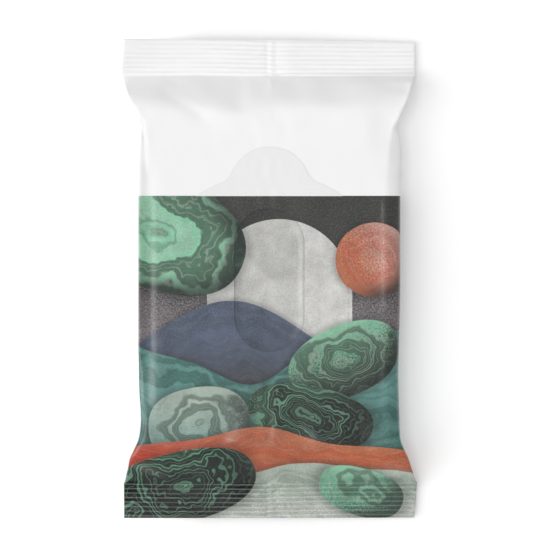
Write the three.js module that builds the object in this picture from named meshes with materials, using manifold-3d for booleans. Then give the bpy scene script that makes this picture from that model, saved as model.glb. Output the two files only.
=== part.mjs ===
// Wet wipes pack: a flow-wrapped film pack that lies on its back, with a peel-and-reseal label on its front.
// Millimetres, +Z up. X runs across the pack and +Y towards the label's pull tab.
// The origin is on the resting face, under the pack's middle.
import * as THREE from "three";
import { LoftGeometry } from "three/addons/geometries/LoftGeometry.js";
import { mergeVertices } from "three/addons/utils/BufferGeometryUtils.js";
import Module from "manifold-3d";

const wasm = await Module();
wasm.setup();

// Film pack. The film is one tube, so its girth is the same at every station along Y.
const PACK_LENGTH = 200;
const FLAT_WIDTH = 122; // the tube pressed flat, which is half its girth
const PACK_THICKNESS = 17; // the folded stack with the film round it
const EDGE_RADIUS = 5.4; // long edges of the stack, seen from the end
const TAPER_LENGTH = 24; // from the end of the flat panel to the root of an end seal

// Crimped end seals. The pack lies on its back, so they hang a little below its mid height.
const SEAL_LENGTH = 15;
const SEAL_THICKNESS = 0.4;
const SEAL_HEIGHT = 6.5; // middle of the seal above the resting face
const RIB_COUNT = 8;
const RIB_DEPTH = 0.4; // crest to valley

// Lengthwise fin seal, folded flat against the back panel. The soft back gives way round it.
const FIN_WIDTH = 11;
const FIN_THICKNESS = 0.4;
const FIN_CLEARANCE = 4; // from the fin to where the back panel starts to give way
const DISH_RUN = 12; // width over which the back panel comes down to the resting face

// Reseal label, stuck to the front panel and bent with it.
const LABEL_WIDTH = 66;
const LABEL_LENGTH = 107; // from the lower edge to the top of the pull tab
const LABEL_THICKNESS = 0.2;
const LABEL_BOTTOM = -51.7; // lower edge, along Y
const LABEL_CORNER = 5;
const TAB_RADIUS = 17;
const TAB_SWEEP = THREE.MathUtils.degToRad(130); // round part of the tab's outline
const SHOULDER_DROP = 27; // from the top of the tab to where the label has its full width
const SHOULDER_TURN = 16.8; // from the top of the tab to where the shoulder turns from hollow to round
const SHOULDER_SLOPE = THREE.MathUtils.degToRad(27); // at that turn

// Dispensing window, cut through the film under the label, whose line shows through the label.
const WINDOW_WIDTH = 29;
const WINDOW_LENGTH = 59.5;
const WINDOW_BOTTOM = 21.5; // from the label's lower edge
const CUT_WIDTH = 0.4;
const CUT_DEPTH = 0.3;
const SHOW_LINE_WIDTH = 0.7;
const SHOW_LINE_DEPTH = 0.08;

// How finely curves are stepped.
const CORNER_STEPS = 4;
const TAPER_STEPS = 9;
const RIB_STEPS = 4;
const OUTLINE_STEPS = 14;
const CLOSEST_SLICES = 0.05;

const SEAL_ROOT = PACK_LENGTH / 2 - SEAL_LENGTH;
const PANEL_END = SEAL_ROOT - TAPER_LENGTH;
const RIB_PITCH = SEAL_LENGTH / RIB_COUNT;
const FIRST_CREST = RIB_PITCH / 8; // each crest and each valley is flat for a quarter of the pitch
const ROUNDEST_EDGE = 0.9; // a thin edge is rounded almost to a half circle

const filmMaterial = new THREE.MeshStandardMaterial({ color: 0xf1f1ef, roughness: 0.42, metalness: 0 });
const labelMaterial = new THREE.MeshStandardMaterial({ color: 0xececea, roughness: 0.36, metalness: 0 });

// Turns a closed geometry into a solid that can be cut.
function toSolid(geometry) {
  const bare = new THREE.BufferGeometry();
  bare.setAttribute("position", geometry.attributes.position);
  bare.setIndex(geometry.index);
  const merged = mergeVertices(bare);
  const vertProperties = merged.attributes.position.array;
  const triVerts = new Uint32Array(merged.index.array);
  return new wasm.Manifold(new wasm.Mesh({ numProp: 3, vertProperties, triVerts }));
}

// Turns a solid back into a geometry.
function toGeometry(solid) {
  const mesh = solid.getMesh();
  const geometry = new THREE.BufferGeometry();
  geometry.setAttribute("position", new THREE.BufferAttribute(mesh.vertProperties, 3));
  geometry.setIndex(new THREE.BufferAttribute(mesh.triVerts, 1));
  geometry.computeVertexNormals();
  return geometry;
}

// Heights of the front and back faces at a distance from the pack's middle, along Y.
// The film leaves the flat panel smoothly and runs into the seal at an angle.
// In the seal both faces follow the ribs.
function facesAt(distance) {
  const taper = THREE.MathUtils.clamp((distance - PANEL_END) / TAPER_LENGTH, 0, 1);
  const closing = 1 - Math.cos((taper * Math.PI) / 2);
  const ribPhase = (Math.max(distance - SEAL_ROOT, 0) / RIB_PITCH) * 2 * Math.PI;
  const rib = (THREE.MathUtils.clamp(Math.sin(ribPhase) * Math.SQRT2, -1, 1) * RIB_DEPTH) / 2;
  const front = THREE.MathUtils.lerp(PACK_THICKNESS, SEAL_HEIGHT + SEAL_THICKNESS / 2, closing) + rib;
  const back = THREE.MathUtils.lerp(0, SEAL_HEIGHT - SEAL_THICKNESS / 2, closing) + rib;
  return { front, back, closing };
}

// Outline of the pack across Y. The film's girth fixes its width once its thickness is known.
function sectionAt(y) {
  const { front, back, closing } = facesAt(Math.abs(y));
  const thickness = front - back;
  const radius = Math.min(EDGE_RADIUS, (ROUNDEST_EDGE * thickness) / 2);
  const width = FLAT_WIDTH - thickness + (4 - Math.PI) * radius;
  const middleBack = back + FIN_THICKNESS * (1 - closing);
  const finFace = middleBack - FIN_THICKNESS;
  const dishStart = FIN_WIDTH + FIN_CLEARANCE;
  const dishEnd = dishStart + DISH_RUN;
  const points = [];

  const point = (x, z) => points.push(new THREE.Vector3(x, y, z));
  const corner = (sideX, faceZ, startAngle) => {
    for (let step = 0; step <= CORNER_STEPS; step++) {
      const angle = startAngle - ((step / CORNER_STEPS) * Math.PI) / 2;
      point(sideX + radius * Math.cos(angle), faceZ + radius * Math.sin(angle));
    }
  };

  const cornerX = width / 2 - radius;
  corner(-cornerX, back + radius, 1.5 * Math.PI);
  corner(-cornerX, front - radius, Math.PI);
  corner(cornerX, front - radius, 0.5 * Math.PI);
  corner(cornerX, back + radius, 0);
  point(dishEnd, back);
  point(dishStart, middleBack);
  point(FIN_WIDTH, middleBack);
  point(FIN_WIDTH, finFace);
  point(0, finFace);
  point(0, middleBack);
  point(-dishStart, middleBack);
  point(-dishEnd, back);
  return points;
}

// Stations along Y: the taper's curve, then each rib's crest and valley edges, on both sides of the middle.
function packStations() {
  const distances = [];
  for (let step = 0; step <= TAPER_STEPS; step++) {
    distances.push(PANEL_END + (step / TAPER_STEPS) * TAPER_LENGTH);
  }
  for (let step = 0; step < RIB_COUNT * RIB_STEPS; step++) {
    distances.push(SEAL_ROOT + FIRST_CREST + (step / RIB_STEPS) * RIB_PITCH);
  }
  distances.push(PACK_LENGTH / 2);
  return [...distances.map((distance) => -distance).reverse(), ...distances];
}

// Outline of the dispensing window, grown or shrunk by an offset.
function windowOutline(PathClass, offset) {
  const radius = WINDOW_WIDTH / 2 + offset;
  const lowCentre = LABEL_BOTTOM + WINDOW_BOTTOM + WINDOW_WIDTH / 2;
  const highCentre = lowCentre + WINDOW_LENGTH - WINDOW_WIDTH;
  const outline = new PathClass();
  outline.absarc(0, highCentre, radius, 0, Math.PI);
  outline.absarc(0, lowCentre, radius, Math.PI, 2 * Math.PI);
  outline.closePath();
  return outline;
}

// Solid of the window's line, from a height upwards, to cut a groove into a flat face.
function windowLine(lineWidth, bottomZ, depth) {
  const ring = windowOutline(THREE.Shape, lineWidth / 2);
  ring.holes.push(windowOutline(THREE.Path, -lineWidth / 2));
  const twiceDepth = 2 * depth; // the cutter stands out of the face by as much as it goes in
  const geometry = new THREE.ExtrudeGeometry(ring, {
    depth: twiceDepth,
    curveSegments: OUTLINE_STEPS,
    bevelEnabled: false,
  });
  return toSolid(geometry.translate(0, 0, bottomZ));
}

// Sealed film pack with its wipes: one solid, with the window's cut line in its front panel.
function makeFilmPack() {
  const sections = packStations().map(sectionAt);
  const wrap = toSolid(new LoftGeometry(sections, { capStart: true, capEnd: true }));
  const cutLine = windowLine(CUT_WIDTH, PACK_THICKNESS - CUT_DEPTH, CUT_DEPTH);
  const mesh = new THREE.Mesh(toGeometry(wrap.subtract(cutLine)), filmMaterial);
  mesh.name = "film_pack";
  return mesh;
}

// Right-hand edge of the label from its lower edge to the top of its pull tab. The left one mirrors it.
function labelEdge() {
  const half = LABEL_WIDTH / 2;
  const top = LABEL_BOTTOM + LABEL_LENGTH;
  const tabCentre = top - TAB_RADIUS;
  const tabEnd = Math.PI / 2 - TAB_SWEEP / 2;
  const tabX = TAB_RADIUS * Math.cos(tabEnd);
  const tabY = tabCentre + TAB_RADIUS * Math.sin(tabEnd);
  const shoulderY = top - SHOULDER_DROP;
  const turnX = (tabX + half) / 2;
  const turnY = top - SHOULDER_TURN;
  const reach = (half - tabX) / 3;
  const turnDX = reach * Math.cos(SHOULDER_SLOPE);
  const turnDY = reach * Math.sin(SHOULDER_SLOPE);
  const tabDX = reach * Math.sin(tabEnd);
  const tabDY = reach * Math.cos(tabEnd);

  const edge = new THREE.Path();
  edge.absarc(half - LABEL_CORNER, LABEL_BOTTOM + LABEL_CORNER, LABEL_CORNER, 1.5 * Math.PI, 2 * Math.PI);
  edge.lineTo(half, shoulderY);
  edge.bezierCurveTo(half, shoulderY + reach, turnX + turnDX, turnY - turnDY, turnX, turnY);
  edge.bezierCurveTo(turnX - turnDX, turnY + turnDY, tabX + tabDX, tabY - tabDY, tabX, tabY);
  edge.absarc(0, tabCentre, TAB_RADIUS, tabEnd, Math.PI / 2);
  const points = edge.getPoints(OUTLINE_STEPS);
  points.pop(); // the last point has no width, so the tab ends at the one before it
  return points;
}

// Slices of the label across Y: one at each point of its edge and one at each bend of the film below.
function labelSlices() {
  const edge = labelEdge();
  const isApart = (y) => edge.every((point) => Math.abs(point.y - y) > CLOSEST_SLICES);
  const bends = packStations().filter((y) => y > edge[0].y && y < edge.at(-1).y && isApart(y));
  const stations = [...edge.map((point) => point.y), ...bends].sort((a, b) => a - b);

  return stations.map((y) => {
    const next = edge.findIndex((point) => point.y >= y);
    const above = edge[next];
    const below = edge[Math.max(next - 1, 0)];
    const share = THREE.MathUtils.inverseLerp(below.y, above.y, y);
    const half = THREE.MathUtils.lerp(below.x, above.x, share);
    const low = facesAt(Math.abs(y)).front;
    const high = low + LABEL_THICKNESS;
    const corners = [[-half, low], [-half, high], [half, high], [half, low]];
    return corners.map(([x, z]) => new THREE.Vector3(x, y, z));
  });
}

// Reseal label: one sheet that follows the front face, with the window's line showing in it.
function makeResealLabel() {
  const sheet = toSolid(new LoftGeometry(labelSlices(), { capStart: true, capEnd: true }));
  const labelTop = PACK_THICKNESS + LABEL_THICKNESS;
  const showLine = windowLine(SHOW_LINE_WIDTH, labelTop - SHOW_LINE_DEPTH, SHOW_LINE_DEPTH);
  const mesh = new THREE.Mesh(toGeometry(sheet.subtract(showLine)), labelMaterial);
  mesh.name = "reseal_label";
  return mesh;
}

const pack = new THREE.Group();
pack.name = "wet_wipes_pack";
pack.add(makeFilmPack(), makeResealLabel());

export default pack;
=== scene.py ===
"""Looks of the wet wipes pack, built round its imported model, in metres.

A tube of printed film is pressed into the sections of a flow wrap, settled as cloth round its stack of
wipes, creased as film creases and crimped at both ends. A fin seal lies on its back, and a reseal label on
its front.
"""

import logging
import math
from collections.abc import Iterator
from contextlib import contextmanager
from dataclasses import dataclass
from enum import Enum

import bmesh
import bpy
import numpy as np
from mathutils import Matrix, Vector


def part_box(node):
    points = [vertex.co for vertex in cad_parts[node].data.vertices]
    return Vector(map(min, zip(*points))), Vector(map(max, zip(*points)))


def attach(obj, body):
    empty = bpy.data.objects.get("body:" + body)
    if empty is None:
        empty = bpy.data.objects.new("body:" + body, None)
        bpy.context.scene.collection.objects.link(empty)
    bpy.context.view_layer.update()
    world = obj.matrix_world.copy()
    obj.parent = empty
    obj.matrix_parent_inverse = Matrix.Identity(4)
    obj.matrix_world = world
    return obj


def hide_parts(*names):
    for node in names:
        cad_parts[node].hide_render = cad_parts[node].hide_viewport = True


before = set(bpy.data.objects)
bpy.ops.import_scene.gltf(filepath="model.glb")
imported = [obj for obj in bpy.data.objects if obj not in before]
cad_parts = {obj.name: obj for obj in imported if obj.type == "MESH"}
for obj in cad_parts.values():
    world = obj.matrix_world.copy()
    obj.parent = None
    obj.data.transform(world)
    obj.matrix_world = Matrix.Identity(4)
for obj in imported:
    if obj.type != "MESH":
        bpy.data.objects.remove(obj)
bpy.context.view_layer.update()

LOG = logging.getLogger("wet_wipes_pack")
MM = 0.001
WEB_MAP = "Web"
# Painted shade along the label's cut edge.
EDGE_SHADE_ATTRIBUTE = "rim"
# Painted highlights on the seals' rib crests and painted shade in their valleys.
RIB_LIGHT_ATTRIBUTE = "Rib"
BODY = "root"
SHARP_ANGLE = math.radians(50)
NOISE_MIDDLE = 0.5
CURVE_STEPS = 17
# Keeps a division by a length from a division by zero.
TINY = 1e-9

# From one value to another.
Span = tuple[float, float]
# A noise's size in millimetres, its octaves and their roughness.
Noise = tuple[float, float, float]
# A smooth rise: the two values that it reads, then the two that it gives for them.
Rise = tuple[float, float, float, float]
# A bump across a seal: its height, its place and its width.
Spot = tuple[float, float, float]
# A ripple: its height, its length across a seal and its lean.
Wave = tuple[float, float, float]
Socket = bpy.types.NodeSocket
Groups = dict[str, bpy.types.NodeTree]


class PackEnd(Enum):
    """The two crimped ends of the pack, with their direction along Y."""

    UPPER = 1
    LOWER = -1


class PackSide(Enum):
    """The two long sides of the pack, with their direction along X."""

    LEFT = -1
    RIGHT = 1


class Ink(Enum):
    """Printing inks, as sRGB hex codes."""

    CHARCOAL = "363534"
    LILAC = "7f777c"
    CONCRETE = "cbcac6"
    SLATE = "4f5c74"
    TERRACOTTA = "b0613a"
    CLAY = "b5391d"
    TEAL = "5b8c86"
    DEEP_TEAL = "0e4a42"
    MINT = "84c2a0"
    FOREST = "2a4535"
    PINE = "0e1411"
    SAGE = "acb8ab"
    BLUSH = "c39a90"

    def linear(self) -> tuple[float, float, float, float]:
        """Returns the ink as a linear colour."""
        return linear_colour(self.value)


def linear_colour(code: str) -> tuple[float, float, float, float]:
    """Turns an sRGB hex code into a linear colour.

    Args:
        code: six hex digits.

    Returns:
        Red, green, blue and an alpha of 1.
    """
    shares = [int(code[start : start + 2], 16) / 255 for start in (0, 2, 4)]
    linear = [s / 12.92 if s <= 0.04045 else ((s + 0.055) / 1.055) ** 2.4 for s in shares]
    return (*linear, 1.0)


def smooth_step(values: np.ndarray, low: float, high: float) -> np.ndarray:
    """Rises smoothly from 0 at low to 1 at high.

    Args:
        values: where to take the step.
        low: value at which it starts.
        high: value at which it ends.

    Returns:
        Shares from 0 to 1.
    """
    share = np.clip((values - low) / (high - low), 0, 1)
    return share * share * (3 - 2 * share)


def bell(values: np.ndarray, place: float, width: float | np.ndarray) -> np.ndarray:
    """Rises to 1 at a place and falls to 0 on both sides of it.

    Args:
        values: where to take the height.
        place: value at which it is highest.
        width: distance at which it has fallen to about a third.

    Returns:
        Shares from 0 to 1.
    """
    return np.exp(-(((values - place) / width) ** 2))


def bezier(start: np.ndarray, first: np.ndarray, second: np.ndarray, end: np.ndarray) -> np.ndarray:
    """Steps along a cubic curve.

    Args:
        start: where it starts.
        first: the handle at its start.
        second: the handle at its end.
        end: where it ends.

    Returns:
        Points along the curve.
    """
    t = np.linspace(0, 1, CURVE_STEPS)[:, None]
    return (1 - t) ** 3 * start + 3 * t * (1 - t) ** 2 * first + 3 * t * t * (1 - t) * second + t**3 * end


def points_of(piece: bpy.types.Object) -> np.ndarray:
    """Reads a piece's vertices.

    Args:
        piece: a mesh object.

    Returns:
        One row of x, y and z for each vertex.
    """
    points = np.zeros(len(piece.data.vertices) * 3)
    piece.data.vertices.foreach_get("co", points)
    return points.reshape(-1, 3)


def place_points(piece: bpy.types.Object, points: np.ndarray) -> None:
    """Moves a piece's vertices.

    Args:
        piece: a mesh object.
        points: one row of x, y and z for each vertex.
    """
    piece.data.vertices.foreach_set("co", np.ascontiguousarray(points, np.float32).ravel())
    piece.data.update()


def mark_points(piece: bpy.types.Object, name: str, values: np.ndarray) -> None:
    """Writes one number for each vertex, for a material to read.

    Args:
        piece: a mesh object.
        name: the attribute's name.
        values: the numbers.
    """
    layer = piece.data.attributes.new(name, "FLOAT", "POINT")
    layer.data.foreach_set("value", values.astype(np.float32))


def choose(piece: bpy.types.Object) -> None:
    """Selects one piece alone and makes it active.

    Args:
        piece: the piece to select.
    """
    bpy.ops.object.select_all(action="DESELECT")
    piece.select_set(True)
    bpy.context.view_layer.objects.active = piece


@contextmanager
def edit_mode(piece: bpy.types.Object) -> Iterator[bmesh.types.BMesh]:
    """Opens one piece in edit mode with nothing selected.

    Args:
        piece: a mesh object.

    Returns:
        The mesh being edited, to select parts of it.
    """
    choose(piece)
    bpy.ops.object.mode_set(mode="EDIT")
    bpy.ops.mesh.select_all(action="DESELECT")
    yield bmesh.from_edit_mesh(piece.data)
    bpy.ops.object.mode_set(mode="OBJECT")


def apply_modifier(piece: bpy.types.Object, kind: str, **settings: object) -> None:
    """Adds a modifier to a piece and applies it.

    Args:
        piece: a mesh object.
        kind: Blender's name for the modifier.
        settings: the modifier's own values.
    """
    choose(piece)
    modifier = piece.modifiers.new(kind.title(), kind)
    for name, value in settings.items():
        setattr(modifier, name, value)
    bpy.ops.object.modifier_apply(modifier=modifier.name)


def lay_on(piece: bpy.types.Object, film: bpy.types.Object, upwards: bool) -> None:
    """Moves a flat sheet straight up or down until it meets the film.

    Args:
        piece: the sheet.
        film: the film piece.
        upwards: whether the sheet starts below the film.
    """
    apply_modifier(
        piece,
        "SHRINKWRAP",
        target=film,
        wrap_method="PROJECT",
        use_project_z=True,
        use_positive_direction=upwards,
        use_negative_direction=not upwards,
    )


def lay_flat_map(piece: bpy.types.Object, start: float = 0.0) -> None:
    """Writes a flat sheet's place on the web as its UV map, in metres.

    Args:
        piece: the sheet, before it is laid on the film.
        start: place across the web of the sheet's X of 0.
    """
    layer = piece.data.uv_layers[0]
    layer.name = WEB_MAP
    for loop, corner in zip(piece.data.loops, layer.data):
        place = piece.data.vertices[loop.vertex_index].co
        corner.uv = (start + place.x, place.y)


def dress(piece: bpy.types.Object, material: bpy.types.Material) -> None:
    """Shades a piece smoothly between its sharp edges and gives it its one material.

    Args:
        piece: a mesh object.
        material: the piece's material.
    """
    choose(piece)
    bpy.ops.object.shade_smooth_by_angle(angle=SHARP_ANGLE)
    piece.data.materials.clear()
    piece.data.materials.append(material)


class Sketch:
    """A shader tree, with short words for the nodes that a pattern is drawn with."""

    def __init__(self, tree: bpy.types.NodeTree) -> None:
        """Starts drawing in a tree."""
        self.tree = tree

    def add(self, kind: str, **settings: object) -> bpy.types.Node:
        """Adds a node.

        Args:
            kind: the node's type.
            settings: the node's own properties.

        Returns:
            The new node.
        """
        node = self.tree.nodes.new(kind)
        for name, value in settings.items():
            setattr(node, name, value)
        return node

    def feed(self, socket: Socket, value: object) -> None:
        """Links a socket to an input, or writes a plain value into it.

        Args:
            socket: the input.
            value: an output socket, a number or a colour.
        """
        if isinstance(value, bpy.types.NodeSocket):
            self.tree.links.new(value, socket)
        else:
            socket.default_value = value

    def put_out(self, **results: object) -> None:
        """Links results to the group's outputs.

        Args:
            results: a socket for each output, by the output's name.
        """
        node = self.add("NodeGroupOutput")
        for name, value in results.items():
            self.feed(node.inputs[name], value)

    def maths(self, operation: str, *values: object) -> Socket:
        """Works out one number.

        Args:
            operation: the Math node's operation.
            values: sockets or numbers, in order.

        Returns:
            The result's socket.
        """
        node = self.add("ShaderNodeMath", operation=operation)
        for socket, value in zip(node.inputs, values):
            self.feed(socket, value)
        return node.outputs[0]

    def ramp(self, value: object, low: float, high: float, start: float = 0.0, end: float = 1.0) -> Socket:
        """Rises smoothly between two values.

        Args:
            value: the socket to read.
            low: value at which the rise starts.
            high: value at which it ends.
            start: result below low.
            end: result above high.

        Returns:
            The result's socket.
        """
        node = self.add("ShaderNodeMapRange", interpolation_type="SMOOTHSTEP")
        for socket, number in zip(node.inputs, (value, low, high, start, end)):
            self.feed(socket, number)
        return node.outputs[0]

    def blend(self, share: object, first: object, second: object) -> Socket:
        """Mixes two colours.

        Args:
            share: how much of the second colour shows.
            first: the colour below.
            second: the colour on top.

        Returns:
            The mixed colour's socket.
        """
        node = self.add("ShaderNodeMix", data_type="RGBA")
        # The node's colour sockets come after those for numbers and vectors.
        self.feed(node.inputs[0], share)
        self.feed(node.inputs[6], first)
        self.feed(node.inputs[7], second)
        return node.outputs[2]

    def noise(self, place: object, size: float, detail: float, roughness: float) -> Socket:
        """Adds cloudy noise.

        Args:
            place: the vector to read, in millimetres.
            size: millimetres from one cloud to the next.
            detail: octaves of finer noise.
            roughness: strength of the finer octaves.

        Returns:
            A socket from 0 to 1.
        """
        node = self.add("ShaderNodeTexNoise")
        self.feed(node.inputs["Vector"], place)
        node.inputs["Scale"].default_value = 1 / size
        node.inputs["Detail"].default_value = detail
        node.inputs["Roughness"].default_value = roughness
        return node.outputs["Fac"]

    def layers(self, run: object, frequency: float) -> Socket:
        """Adds noise along one number, for layers of uneven width.

        Args:
            run: the number to read.
            frequency: layers for each unit of it.

        Returns:
            A socket from 0 to 1.
        """
        node = self.add("ShaderNodeTexNoise", noise_dimensions="1D")
        self.feed(node.inputs["W"], run)
        node.inputs["Scale"].default_value = frequency
        node.inputs["Detail"].default_value = 1.0
        return node.outputs["Fac"]

    def lengthened(self, place: object, along: float) -> Socket:
        """Scales a place along the pack, so that a noise that reads it runs lengthwise.

        Args:
            place: the vector to scale.
            along: factor along the pack.

        Returns:
            The scaled vector's socket.
        """
        node = self.add("ShaderNodeVectorMath", operation="MULTIPLY")
        self.feed(node.inputs[0], place)
        node.inputs[1].default_value = (1, along, 1)
        return node.outputs[0]

    def scaled(self, vector: object, factor: object) -> Socket:
        """Scales a colour or a place.

        Args:
            vector: the colour or place.
            factor: a socket or a number.

        Returns:
            The scaled socket.
        """
        node = self.add("ShaderNodeVectorMath", operation="SCALE")
        self.feed(node.inputs[0], vector)
        self.feed(node.inputs["Scale"], factor)
        return node.outputs[0]

    def axes(self, vector: object) -> tuple[Socket, Socket]:
        """Takes a vector apart.

        Args:
            vector: the vector's socket.

        Returns:
            The sockets of its X and its Y.
        """
        node = self.add("ShaderNodeSeparateXYZ")
        self.feed(node.inputs[0], vector)
        return node.outputs["X"], node.outputs["Y"]

    def bump(self, height: object, depth: float, normal: Socket | None = None) -> Socket:
        """Tilts the surface by a height.

        Args:
            height: the height's socket, from 0 to 1.
            depth: metres from the lowest to the highest.
            normal: the normal to start from, or the surface's own.

        Returns:
            The new normal's socket.
        """
        node = self.add("ShaderNodeBump")
        node.inputs["Strength"].default_value = 1.0
        node.inputs["Distance"].default_value = depth
        self.feed(node.inputs["Height"], height)
        if normal is not None:
            self.feed(node.inputs["Normal"], normal)
        return node.outputs["Normal"]

    def slot_gap(self, u: object, v: object, radius: float, crown: float, foot: float) -> Socket:
        """Measures the distance to the edge of an upright slot with round ends.

        Args:
            u: place across the slot's middle line.
            v: place along it.
            radius: half the slot's width.
            crown: place of the slot's top.
            foot: place of the lower end's centre.

        Returns:
            The distance's socket, below 0 inside the slot.
        """
        inner = self.maths("MAXIMUM", self.maths("MINIMUM", v, crown - radius), foot)
        dv = self.maths("SUBTRACT", v, inner)
        square = self.maths("MULTIPLY_ADD", u, u, self.maths("MULTIPLY", dv, dv))
        return self.maths("SUBTRACT", self.maths("SQRT", square), radius)


def web_group(name: str, colours: tuple[str, ...], values: tuple[str, ...]) -> tuple[Sketch, Socket]:
    """Starts a shader group that reads a place on the web.

    Args:
        name: the group's name.
        colours: names of its colour outputs.
        values: names of its number outputs.

    Returns:
        The group's sketch, and the socket of the place in millimetres.
    """
    tree = bpy.data.node_groups.new(name, "ShaderNodeTree")
    tree.interface.new_socket("Web", in_out="INPUT", socket_type="NodeSocketVector")
    for colour in colours:
        tree.interface.new_socket(colour, in_out="OUTPUT", socket_type="NodeSocketColor")
    for value in values:
        tree.interface.new_socket(value, in_out="OUTPUT", socket_type="NodeSocketFloat")
    sketch = Sketch(tree)
    return sketch, sketch.add("NodeGroupInput").outputs["Web"]


@dataclass(frozen=True)
class WebPlace:
    """Sockets that every printed shape reads: the place on the web in millimetres, and shared noises."""

    place: Socket
    u: Socket
    v: Socket
    grain: Socket
    cloud: Socket
    warp: Socket


@dataclass(frozen=True)
class Motif:
    """One printed shape, shaded from one ink to another, with a shadow on what lies under it.

    A shape with strata has wavering bands of a third ink that follow its edge, as in a cut stone, and pale
    threads between them.
    """

    light: Ink
    dark: Ink
    fade: Span
    turn: float = -90.0
    fade_margin: float = 0.15
    shadow: float = 0.35
    shadow_reach: float = 3.0
    edge: float = 0.12
    stipple: float = 1.5
    strata: float = 0.0
    strata_pitch: float = 5.0
    vein: Ink = Ink.PINE
    band: Span = (0.46, 0.6)
    pale: Ink = Ink.SAGE
    threads: float = 3.1
    thread_width: float = 0.05
    thread_share: float = 0.55

    def distance(self, sketch: Sketch, web: WebPlace) -> Socket:
        """Gives the distance to the shape's edge in millimetres, below 0 inside it."""
        raise NotImplementedError

    def shade(self, sketch: Sketch, web: WebPlace) -> Socket:
        """Mixes the shape's two inks along its fade, with a stippled boundary.

        Args:
            sketch: the tree to draw in.
            web: the place on the web.

        Returns:
            The ink's colour socket.
        """
        angle = math.radians(self.turn)
        across = sketch.maths("MULTIPLY", web.u, math.cos(angle))
        along = sketch.maths("MULTIPLY_ADD", web.v, math.sin(angle), across)
        start, end = self.fade
        speck = (end - start) * self.stipple
        stippled = sketch.maths("MULTIPLY_ADD", web.grain, speck, along)
        margin = self.fade_margin * (end - start)
        share = sketch.ramp(stippled, start + margin + speck / 2, end - margin + speck / 2)
        return sketch.blend(share, self.light.linear(), self.dark.linear())

    def banded(self, sketch: Sketch, web: WebPlace, gap: Socket, colour: Socket) -> Socket:
        """Lays wavering bands and threads over the shape's inks.

        Args:
            sketch: the tree to draw in.
            web: the place on the web.
            gap: distance to the shape's edge.
            colour: the shape's inks.

        Returns:
            The banded colour socket.
        """
        run = sketch.maths("DIVIDE", sketch.maths("ADD", gap, web.warp), self.strata_pitch)
        band = sketch.ramp(sketch.layers(run, 1.0), *self.band)
        banded = sketch.blend(sketch.maths("MULTIPLY", band, self.strata), colour, self.vein.linear())
        fine = sketch.layers(run, self.threads)
        thread = sketch.maths("ABSOLUTE", sketch.maths("SUBTRACT", fine, NOISE_MIDDLE))
        pale = sketch.ramp(thread, 0.0, self.thread_width, 1, 0)
        pale = sketch.maths("MULTIPLY", pale, self.strata * self.thread_share)
        return sketch.blend(pale, banded, self.pale.linear())

    def rounded(self, sketch: Sketch, web: WebPlace, gap: Socket, colour: Socket) -> Socket:
        """Leaves a flat shape as it is."""
        return colour

    def draw(self, sketch: Sketch, web: WebPlace, below: Socket) -> Socket:
        """Draws the shape over what is already printed.

        Args:
            sketch: the tree to draw in.
            web: the place on the web.
            below: the colour printed so far.

        Returns:
            The new colour socket.
        """
        gap = self.distance(sketch, web)
        shadow = sketch.ramp(gap, 0, self.shadow_reach, self.shadow, 0)
        shaded = sketch.blend(shadow, below, Ink.PINE.linear())
        colour = self.shade(sketch, web)
        if self.strata:
            colour = self.banded(sketch, web, gap, colour)
        colour = self.rounded(sketch, web, gap, colour)
        inside = sketch.ramp(gap, -self.edge, self.edge, 1, 0)
        return sketch.blend(inside, shaded, colour)


@dataclass(frozen=True)
class Dune(Motif):
    """A rolling field that fills everything below a wavy line and runs round the whole pack."""

    level: float = 0.0
    swell: float = 8.0
    crests: int = 2
    phase: float = 0.0
    roll: float = 0.0
    roll_crests: int = 5
    girth: float = 244.0

    def distance(self, sketch: Sketch, web: WebPlace) -> Socket:
        """Gives the height above the wavy line.

        Args:
            sketch: the tree to draw in.
            web: the place on the web.

        Returns:
            The height's socket.
        """
        line: object = self.level
        for swell, crests in ((self.swell, self.crests), (self.roll, self.roll_crests)):
            angle = sketch.maths("MULTIPLY_ADD", web.u, 2 * math.pi * crests / self.girth, self.phase)
            line = sketch.maths("MULTIPLY_ADD", sketch.maths("SINE", angle), swell, line)
        return sketch.maths("SUBTRACT", web.v, line)


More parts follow.
